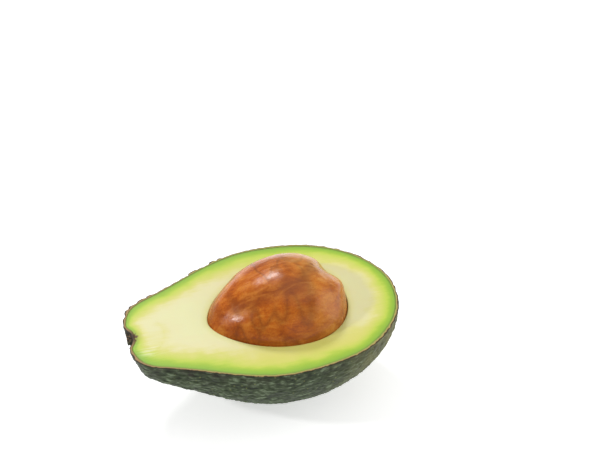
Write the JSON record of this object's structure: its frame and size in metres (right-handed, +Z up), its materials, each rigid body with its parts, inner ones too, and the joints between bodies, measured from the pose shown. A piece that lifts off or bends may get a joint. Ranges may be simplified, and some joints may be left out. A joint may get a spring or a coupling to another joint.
{
  "type": "halved avocado",
  "caption": "Pear-shaped avocado cut in half lengthways, lying on its peel with the cut face up and the seed still in its hollow.",
  "frame": {"origin": "middle of the small flat spot on the peel that the half rests on", "axes": "+X from the stem end to the blossom end, +Y across the fruit, +Z up, at right angles to the level cut face"},
  "size_m": [0.1051, 0.0716, 0.0516],
  "materials": {
    "peel": "dark green pebbled skin, slightly waxy",
    "flesh": "moist buttery flesh, green towards the peel",
    "seed": "smooth brown seed coat, semi-gloss",
    "stem_button": "dry brown stalk"
  },
  "bodies": {
    "root": {"peel": "peel", "flesh": "flesh", "seed": "seed", "stem_button": "stem_button"}
  },
  "joints": []
}
